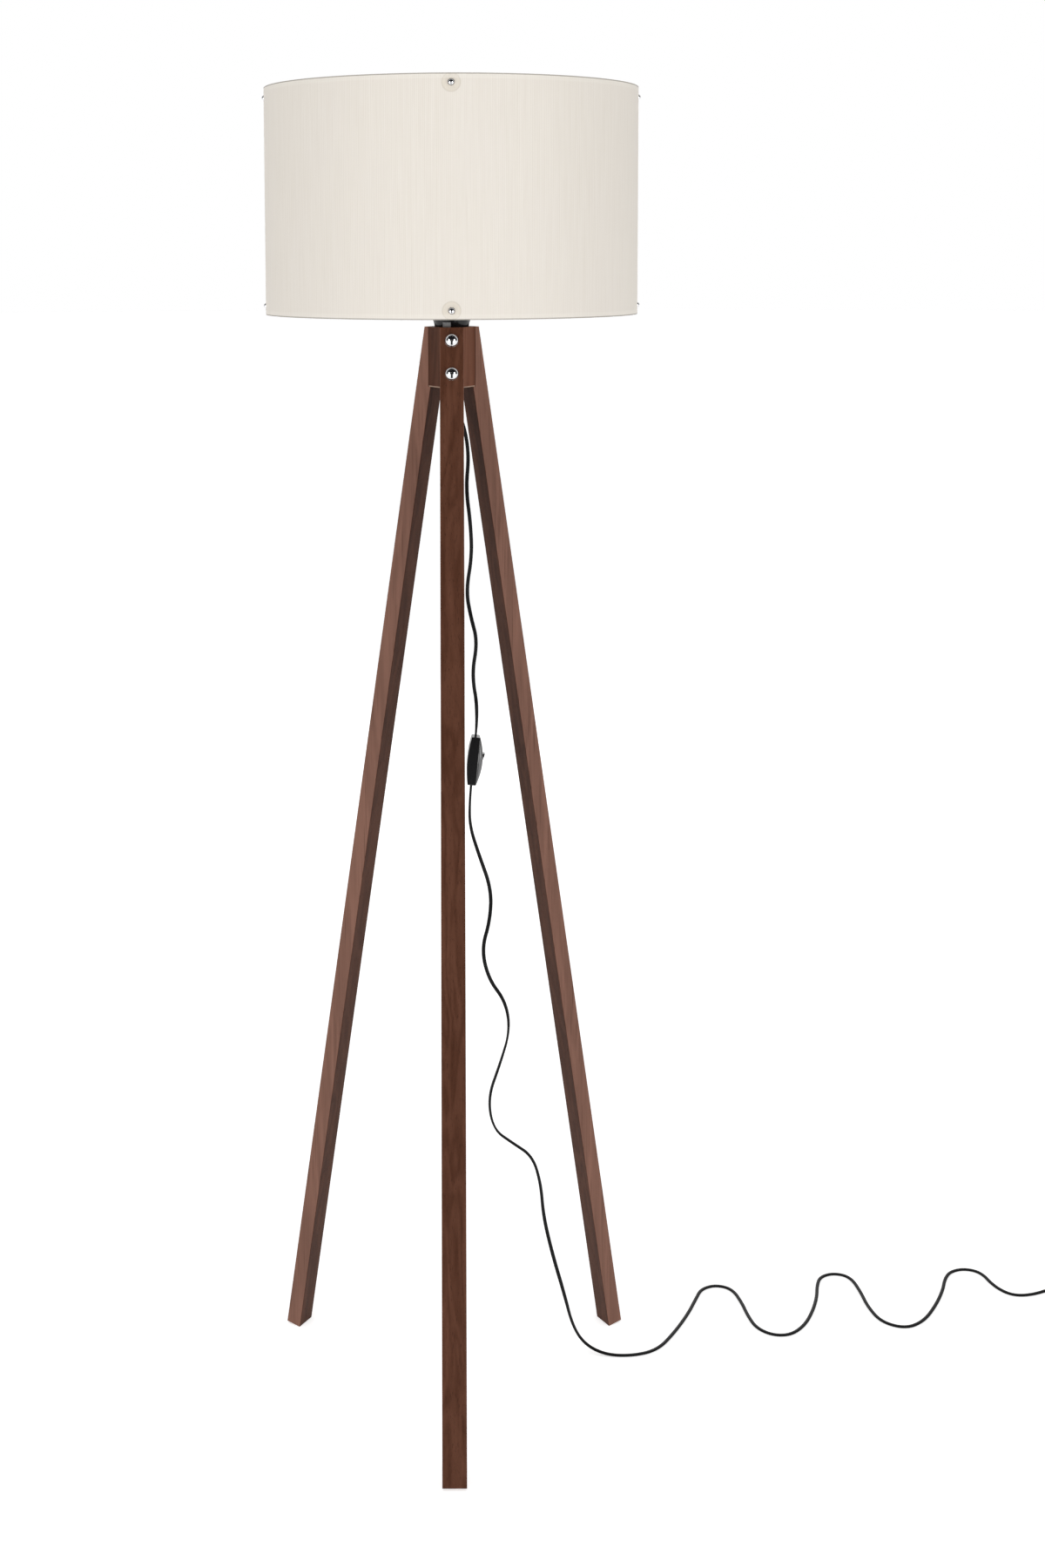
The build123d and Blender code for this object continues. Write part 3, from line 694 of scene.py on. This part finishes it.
class LAMP_OT_flex(bpy.types.Operator):
    """The flat flex from the hub to the switch, and from the switch to the plug"""

    bl_idname = "lamp.flex"
    bl_label = "Flex"

    def execute(self, context):
        settings = context.scene.lamp_flex
        finish = flex_finish(settings)
        upper = self.centre_line("flex_upper_line", UPPER_ROUTE)
        upper_piece = self.flat_tube("flex_upper", upper, settings, finish, self.hanging_twist, (0, 1, 0))
        dress(upper_piece, ["cord_upper"])
        kept = ("switch_base", "switch_rocker", "switch_contacts", "switch_screws")
        switch = [self.switch_cover()] + [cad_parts[node] for node in kept]
        self.length(upper)

        lower = self.centre_line("flex_lower_line", LOWER_ROUTE + self.coil_points() + TAIL_ROUTE)
        lower_piece = self.flat_tube("flex_lower", lower, settings, finish, self.lying_twist, (1, 0, 0))
        dress(lower_piece, ["cord_lower", "cord_coil", "cord_tail"])
        tie = self.tie()
        plug = PlugParts(finish)
        self.length(lower)
        return {"FINISHED"}

    def coil_points(self):
        """The coil's turns, clockwise from above, each turn resting on the one below."""
        steps = round(COIL_TURNS * COIL_POINTS_PER_TURN)
        points = []
        for step in range(steps + 1):
            share = step / steps
            turn = math.pi / 2 - share * COIL_TURNS * 2 * math.pi
            radius = COIL_RADIUS + 0.0005 * math.sin(2.3 * turn)
            height = 0.0024 + COIL_PITCH * COIL_TURNS * max(0.0, share - 0.03)
            points.append((COIL_CENTRE.x + radius * math.cos(turn),
                           COIL_CENTRE.y + radius * math.sin(turn), height))
        return points

    def centre_line(self, name, route):
        """Points along one smooth NURBS line whose control points are the route."""
        line = bpy.data.curves.new(name, "CURVE")
        line.dimensions = "3D"
        line.resolution_u = 10
        spline = line.splines.new("NURBS")
        spline.points.add(len(route) - 1)
        for point, place in zip(spline.points, route):
            point.co = (*place, 1.0)
        spline.order_u = 3
        spline.use_endpoint_u = True
        source = new_object(name, line)
        bpy.context.view_layer.update()
        evaluated = source.evaluated_get(bpy.context.evaluated_depsgraph_get())
        mesh = bpy.data.meshes.new_from_object(evaluated)
        points = [vertex.co.copy() for vertex in mesh.vertices]
        bpy.data.objects.remove(source)
        return points

    def length(self, points):
        return sum((b - a).length for a, b in zip(points, points[1:]))

    def hanging_twist(self, share, place):
        """How far the flat side turns about the line between the bush and the switch."""
        turned = min(1.0, (1.0 - share) / 0.08)
        return turned * math.radians(90 + 30 * math.sin(3.0 * math.pi * share))

    def lying_twist(self, share, place):
        """Flat on the floor, turning as it hangs, and on its edge in the coil."""
        from_coil = abs(math.hypot(place.x - COIL_CENTRE.x, place.y - COIL_CENTRE.y) - COIL_RADIUS)
        on_edge = 1.0 - min(1.0, from_coil / 0.012)
        above_floor = min(1.0, max(0.0, (place.z - 0.02) / 0.08))
        below_switch = min(1.0, max(0.0, (0.68 - place.z) / 0.03))
        swing = 22 + 50 * math.sin(place.z * 15.0)
        return math.radians(90 * on_edge + above_floor * below_switch * swing)

    def flat_tube(self, name, points, settings, material, twist, end_side):
        """Two round cores side by side under one sheath, following the points.

        end_side is the way the flat side faces at the last point, before the twist.
        """
        section = []
        core = settings.thickness / 2
        offset = settings.width / 2 - core
        around = 20
        for step in range(around):
            turn = 2 * math.pi * step / around
            out = math.cos(turn)
            across = out * core + math.copysign(offset, out) if abs(out) > 0.05 else 0.0
            dent = 0.84 if abs(out) < 0.1 else 1.0
            section.append((across, math.sin(turn) * core * dent))
        total = len(points) - 1
        along = [(points[min(i + 1, total)] - points[max(i - 1, 0)]).normalized()
                 for i in range(total + 1)]
        sides = [None] * (total + 1)
        side = Vector(end_side)
        for i in range(total, -1, -1):
            side = (side - along[i] * side.dot(along[i])).normalized()
            if abs(along[i].z) < 0.35:
                level = Vector((0, 0, 1)).cross(along[i]).normalized()
                side = level if level.dot(side) > 0 else -level
            sides[i] = side.copy()
        shape = bmesh.new()
        rows = []
        for i, point in enumerate(points):
            turn = Matrix.Rotation(twist(i / total, point), 3, along[i])
            wide = turn @ sides[i]
            high = along[i].cross(wide)
            rows.append([shape.verts.new(point + wide * a + high * b) for a, b in section])
        close_tube(shape, rows)
        bmesh.ops.recalc_face_normals(shape, faces=shape.faces)
        return new_object(name, mesh_of(shape, name, angle=60), material)

    def switch_cover(self):
        """The switch's glossy upper shell: a long dome with an open slot for the rocker."""
        half, seam, slot, slot_end, round_end, power = 0.027, 0.0045, 0.0047, 0.0102, 0.0025, 0.75
        heights = [-half, -0.0265, -0.0255, -0.024, -0.021, -0.017, -0.0135, -slot_end, -0.007, -0.0035]
        heights += [0.0] + [-height for height in reversed(heights)]
        shape = bmesh.new()
        rows = []
        for height in heights:
            wide = 0.012 - 0.0035 * (height / half) ** 2
            corner = max(0.0, abs(height) - half + round_end)
            wide -= round_end - math.sqrt(round_end**2 - corner**2)
            rise = 0.006 - 0.0052 * (height / half) ** 2
            edge = math.acos((slot / wide) ** (1 / power))
            turns = [edge * k / 8 for k in range(8)]
            turns += [edge + (math.pi / 2 - edge) * k / 4 for k in range(4)] + [math.pi / 2]
            left = [(wide * math.cos(t) ** power, rise * math.sin(t) ** power) for t in turns[:-1]]
            profile = left + [(0.0, rise)] + [(-y, x) for y, x in reversed(left)]
            rows.append([shape.verts.new((seam + x, y, height)) for y, x in profile])
        for low, high, at, after in zip(rows, rows[1:], heights, heights[1:]):
            for k in range(len(low) - 1):
                if not (8 <= k < 16 and abs(at + after) / 2 < slot_end):
                    shape.faces.new((low[k], low[k + 1], high[k + 1], high[k]))
        shape.faces.new(rows[0])
        shape.faces.new(rows[-1][::-1])
        for face in shape.faces:
            face.normal_update()
        outwards = sum(face.normal.dot(face.calc_center_median()) for face in shape.faces)
        if outwards < 0:
            bmesh.ops.reverse_faces(shape, faces=shape.faces)
        place = Matrix.Translation(SWITCH_CENTRE) @ Matrix.Rotation(SWITCH_TILT, 4, "Y")
        gloss = plain_finish("Gloss black moulding", (0.018, 0.018, 0.02), 0.12, 0.04, 900.0, 0.00001,
                             Coat_Weight=1.0, Coat_Roughness=0.06, Coat_IOR=1.8)
        shell = new_object("switch_dome", mesh_of(shape, "switch_dome", place, 50), gloss)
        wall = shell.modifiers.new("Wall", "SOLIDIFY")
        wall.thickness = 0.0009
        wall.offset = -1.0
        shell = baked(shell, "switch_dome")
        dress(shell, ["switch_cover"])
        return shell

    def tie(self):
        """The coated wire band round the coil, which stays a CAD piece."""
        paint(plain_finish("Black tie", (0.02, 0.02, 0.021), 0.4), "coil_tie")
        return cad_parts["coil_tie"]


class PlugParts:
    """The moulded two-pole plug with its grooved strain relief."""

    def __init__(self, flex_material):
        moulding = plain_finish("Black plug moulding", (0.014, 0.014, 0.015), 0.34, bump=0.00004)
        self.body = self.moulded_body(moulding)
        self.relief = self.grooved_relief(flex_material)
        self.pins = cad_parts["plug_pins"]
        paint(plain_finish("Nickel pins", (0.78, 0.75, 0.70), 0.2, Metallic=1.0), "plug_pins")

    def moulded_body(self, material):
        middle = (PLUG_LOW + PLUG_HIGH) / 2
        size = PLUG_HIGH - PLUG_LOW
        sections = [(0.0, 1.0, 1.0), (0.04, 1.0, 1.0), (0.26, 1.0, 1.0), (0.34, 0.93, 0.98),
                    (0.44, 0.80, 0.94), (0.56, 0.68, 0.90), (0.70, 0.60, 0.88), (0.84, 0.50, 0.86),
                    (0.96, 0.40, 0.84), (1.0, 0.36, 0.80)]
        around = 32
        shape = bmesh.new()
        rows = []
        for share, wide, thick in sections:
            half_x, half_z = size.x / 2 * wide, size.z / 2 * thick
            corner = min(half_x, half_z) * 0.62
            row = []
            for step in range(around):
                turn = 2 * math.pi * step / around
                c, s = math.cos(turn), math.sin(turn)
                x = math.copysign(half_x - corner, c) + corner * c
                z = math.copysign(half_z - corner, s) + corner * s
                row.append(shape.verts.new((middle.x + x, PLUG_LOW.y + share * size.y, middle.z + z)))
            rows.append(row)
        close_tube(shape, rows)
        for side in (-1, 1):
            for groove in range(4):
                self.grip(shape, middle, size, side, groove)
        bmesh.ops.recalc_face_normals(shape, faces=shape.faces)
        body = new_object("plug_moulding", mesh_of(shape, "plug_moulding", angle=40), material)
        dress(body, ["plug_body"])
        return body

    def grip(self, shape, middle, size, side, groove):
        """One raised grip rib across the plug's flat side."""
        y = PLUG_LOW.y + size.y * (0.42 + 0.1 * groove)
        half = size.x / 2 * (0.62 - 0.08 * groove)
        z = middle.z + side * size.z / 2 * (0.92 - 0.02 * groove)
        ends = [(-half, 0), (-half + 0.001, 1), (half - 0.001, 1), (half, 0)]
        close_tube(shape, [[
            shape.verts.new((middle.x + x, y + way * (0.0007 - 0.0003 * lift), z + side * 0.0004 * lift))
            for x, lift in ends] for way in (-1, 1)])

    def grooved_relief(self, material):
        length = RELIEF_HIGH.y - RELIEF_LOW.y
        profile = [(0.0, 0.0), (0.0052, 0.0)]
        for ring in range(6):
            start = length * (0.1 + 0.14 * ring)
            radius = 0.0052 - 0.0021 * (start / length)
            profile += [(radius, start - 0.0011), (radius - 0.0002, start - 0.0006),
                        (radius - 0.0009, start), (radius - 0.0009, start + 0.0009),
                        (radius - 0.0004, start + 0.0014)]
        profile += [(0.0030, length - 0.0006), (0.0027, length), (0.0, length)]
        middle = (RELIEF_LOW + RELIEF_HIGH) / 2
        foot = Matrix.Translation((middle.x, RELIEF_LOW.y, middle.z))
        mesh = lathe("plug_strain_relief", profile, 32, foot @ Matrix.Rotation(math.radians(-90), 4, "X"))
        relief = new_object("plug_strain_relief", mesh, material)
        dress(relief, ["plug_relief"])
        return relief


class LAMP_OT_wood(bpy.types.Operator):
    """Stained legs and hub"""

    bl_idname = "lamp.wood"
    bl_label = "Legs and hub"

    def execute(self, context):
        settings = context.scene.lamp_wood
        for seed, (node, direction) in enumerate(LEG_DIRECTIONS.items(), 1):
            turn = Matrix.Rotation(LEG_LEAN, 3, "Y") @ Matrix.Rotation(math.radians(-direction), 3, "Z")
            paint(wood_finish(f"Stained wood {seed}", turn.to_euler(), settings, seed), node)
        paint(wood_finish("Stained wood hub", (0, 0, 0), settings, 7, leg=False), "hub_block")
        return {"FINISHED"}


class LAMP_OT_hardware(bpy.types.Operator):
    """Chrome dome bolts on the legs, dome screws on the shade, and the plated parts of the tube"""

    bl_idname = "lamp.hardware"
    bl_label = "Bolts and screws"

    def execute(self, context):
        settings = context.scene.lamp_hardware
        chrome = plain_finish("Polished chrome", settings.chrome, 0.07, 0.03, 1200.0, 0.0, Metallic=1.0)
        ring = ring_tree()
        bolt = self.dome("bolt_part", settings.bolt_radius, settings.bolt_height, 0.003, 0.022)
        half_leg = LEG_THICKNESS / 2 / math.cos(LEG_LEAN)
        heights = [HUB_HIGH.z - drop for drop in BOLT_DROPS]
        radii = [LEG_FOOT_RADIUS - height * math.tan(LEG_LEAN) + half_leg for height in heights]
        bolts = ring.make("leg_dome_bolts", {
            "Part": bolt, "Count": 3, "Rows": 2, "Radius": radii[0], "Radius step": radii[1] - radii[0],
            "Height": heights[0], "Height step": heights[1] - heights[0],
            "First direction": math.radians(-90), "Tilt": LEG_LEAN, "Material": chrome})
        dress(bolts, ["leg_bolts"])

        screw = self.dome("screw_part", settings.screw_radius, settings.screw_height, 0.0015, 0.0062)
        screws = ring.make("shade_dome_screws", {
            "Part": screw, "Count": 4, "Rows": 2, "Radius": SHADE_HIGH.x, "Radius step": 0.0,
            "Height": SHADE_LOW.z + SCREW_INSET, "Height step": 2 * (SHADE_HALF - SCREW_INSET),
            "First direction": 0.0, "Tilt": 0.0, "Material": chrome})
        dress(screws, ["shade_screws"])
        for part in (bolt, screw):
            bpy.data.objects.remove(part)

        paint(chrome, "screw_nuts")
        zinc = plain_finish("Zinc plate", (0.52, 0.53, 0.55), 0.34, 0.1, 500.0, 0.00003, Metallic=1.0)
        paint(zinc, "bolt_inserts", "threaded_tube", "tube_washer", "tube_nut", "tube_top_nut")
        return {"FINISHED"}

    def dome(self, name, radius, height, shank_radius, shank_length):
        profile = dome_profile(radius, height, shank_radius, shank_length)
        outwards = Matrix.Rotation(math.radians(90), 4, "Y")
        return new_object(name, lathe(name, profile, 48, outwards))


class LAMP_OT_shade(bpy.types.Operator):
    """The drum shade's sheet, wire frame and washers"""

    bl_idname = "lamp.shade"
    bl_label = "Shade"

    def execute(self, context):
        settings = context.scene.lamp_shade
        sheet = sheet_tree().make("drum_sheet", {
            "Radius": SHADE_HIGH.x - settings.thickness / 2, "Low": SHADE_LOW.z, "High": SHADE_HIGH.z,
            "Lap": settings.overlap, "Thickness": settings.thickness,
            "Material": sheet_finish(settings)})
        wall = sheet.modifiers.new("Thickness", "SOLIDIFY")
        wall.thickness = settings.thickness
        wall.offset = 0.0
        sheet.data.polygons.foreach_set("use_smooth", [True] * len(sheet.data.polygons))
        sheet = baked(sheet, "drum_sheet")
        smooth(sheet.data, 40)
        sheet.visible_glossy = False
        dress(sheet, ["shade_sheet"])

        paint(plain_finish("Clear washer", (0.74, 0.66, 0.54), 0.3), "screw_washers")
        wire = plain_finish("White painted wire", (0.80, 0.78, 0.74), 0.38, 0.08, 300.0, 0.00005)
        paint(wire, "fitter_ring", "shade_bottom_ring", "shade_top_ring", "spider_arms", "ring_tabs")
        return {"FINISHED"}


class LAMP_OT_lampholder(bpy.types.Operator):
    """The black lampholder and its inner parts"""

    bl_idname = "lamp.lampholder"
    bl_label = "Lampholder"

    def execute(self, context):
        black = plain_finish("Black moulded holder", (0.009, 0.009, 0.010), 0.2, 0.07, 700.0, 0.00003,
                             Specular_IOR_Level=0.35)
        paint(black, "lampholder_cap", "lampholder_shell", "shade_clamp_ring")
        for node, name, colour, roughness in (
                ("cap_lock_tab", "Grey tab", (0.17, 0.17, 0.175), 0.4),
                ("cord_bush", "Black bush", (0.02, 0.02, 0.021), 0.5),
                ("cord_inner", "Inner flex", (0.012, 0.012, 0.013), 0.4),
                ("lampholder_core", "Glazed ceramic", (0.82, 0.81, 0.77), 0.16)):
            paint(plain_finish(name, colour, roughness), node)
        brass = plain_finish("Nickelled brass", (0.78, 0.72, 0.58), 0.24, 0.08, 600.0, 0.00002,
                             Metallic=1.0)
        paint(brass, "screw_shell", "centre_contact", "terminal_screws")
        return {"FINISHED"}


class LAMP_OT_bulb(bpy.types.Operator):
    """The opal bulb with its screw cap"""

    bl_idname = "lamp.bulb"
    bl_label = "Bulb"

    def execute(self, context):
        opal = Finish("Opal glass", (0.93, 0.92, 0.89), 0.14, Coat_Weight=0.4, Coat_Roughness=0.05)
        frost = opal.noise(opal.place(), 500.0, 2.0, 0.5)
        opal.roughness(frost * 0.1 + 0.1)
        radius = (BULB_HIGH.x - BULB_LOW.x) / 2
        centre = BULB_HIGH.z - radius
        neck = CAP_HIGH.z + 0.0012
        profile = [(0, neck - 0.006), (0.0122, neck - 0.006), (0.0124, neck), (0.0141, neck + 0.006),
                   (0.0160, neck + 0.0125), (0.0190, neck + 0.0175), (0.0226, neck + 0.0222)]
        start = math.degrees(math.asin((profile[-1][1] - centre) / radius)) + 6
        dome = arc((0, centre), radius, start, 90, 26)
        dome[-1] = (0, centre + radius)
        glass = new_object("bulb_envelope", lathe("bulb_envelope", profile + dome, 64), opal.material)
        smooth(glass.data, 60)
        dress(glass, ["bulb_glass"], "bulb")

        brass = plain_finish("Bulb cap metal", (0.80, 0.77, 0.70), 0.22, 0.06, 400.0, 0.00002,
                             Metallic=1.0)
        outer = (CAP_HIGH.x - CAP_LOW.x) / 2
        start_height, end_height = CAP_LOW.z + 0.0048, CAP_HIGH.z - 0.003
        rise = (end_height - start_height) / 48
        rows = [(outer - THREAD_DEPTH, start_height + rise * k) for k in range(49)]
        profile = [(0.0096, CAP_LOW.z), (0.0105, CAP_LOW.z + 0.001),
                   (outer - 0.0014, start_height - 0.001), *rows,
                   (outer - 0.0004, CAP_HIGH.z - 0.0015), (outer - 0.0004, CAP_HIGH.z),
                   (0.0125, CAP_HIGH.z), (0.012, start_height), (0.0094, CAP_LOW.z + 0.0004)]

        def thread(turn, radius, height):
            if radius < outer - 0.0007 or not start_height < height < end_height:
                return 0.0
            return THREAD_DEPTH * math.sin(2 * math.pi * height / THREAD_PITCH - turn)

        cap = new_object("bulb_screw_cap", lathe("bulb_screw_cap", profile, 64, wave=thread), brass)
        smooth(cap.data, 60)
        dress(cap, ["bulb_cap"], "bulb")
        paint(plain_finish("Contact and black glass", (0.10, 0.095, 0.09), 0.25), "bulb_contact")
        return {"FINISHED"}


class LAMP_OT_switch(bpy.types.Operator):
    """The in-line switch on the flex"""

    bl_idname = "lamp.switch"
    bl_label = "Switch"

    def execute(self, context):
        satin = plain_finish("Satin black moulding", (0.010, 0.010, 0.011), 0.3, 0.06, 1500.0,
                             Specular_IOR_Level=0.35)
        paint(satin, "switch_base")
        paint(plain_finish("Rocker black", (0.008, 0.008, 0.009), 0.3, 0.06, 1200.0), "switch_rocker")
        plated = plain_finish("Plated terminals", (0.72, 0.64, 0.45), 0.3, Metallic=1.0)
        paint(plated, "switch_contacts", "switch_screws")
        return {"FINISHED"}


class LAMP_PT_panel(bpy.types.Panel):
    """Lists the lamp's operators and settings"""

    bl_label = "Floor lamp"
    bl_idname = "LAMP_PT_panel"
    bl_space_type = "VIEW_3D"
    bl_region_type = "UI"
    bl_category = "Floor lamp"

    def draw(self, context):
        for operator in OPERATORS:
            self.layout.operator(operator.bl_idname)
        for name, group in SETTINGS.items():
            box = self.layout.box()
            for prop in group.__annotations__:
                box.prop(getattr(context.scene, name), prop)


SETTINGS = {
    "lamp_wood": WoodSettings,
    "lamp_shade": ShadeSettings,
    "lamp_hardware": HardwareSettings,
    "lamp_flex": FlexSettings,
    "lamp_stage": StageSettings,
}
OPERATORS = [
    LAMP_OT_stage, LAMP_OT_flex, LAMP_OT_wood, LAMP_OT_hardware, LAMP_OT_shade, LAMP_OT_lampholder,
    LAMP_OT_bulb, LAMP_OT_switch,
]


def register():
    for group in SETTINGS.values():
        bpy.utils.register_class(group)
    for name, group in SETTINGS.items():
        setattr(bpy.types.Scene, name, PointerProperty(type=group))
    for operator in OPERATORS:
        bpy.utils.register_class(operator)
    bpy.utils.register_class(LAMP_PT_panel)


def unregister():
    bpy.utils.unregister_class(LAMP_PT_panel)
    for operator in reversed(OPERATORS):
        bpy.utils.unregister_class(operator)
    for name, group in SETTINGS.items():
        delattr(bpy.types.Scene, name)
        bpy.utils.unregister_class(group)


def main():
    register()
    for operator in OPERATORS:
        group, name = operator.bl_idname.split(".")
        getattr(getattr(bpy.ops, group), name)()
    bpy.context.view_layer.update()


if __name__ == "__main__":
    main()
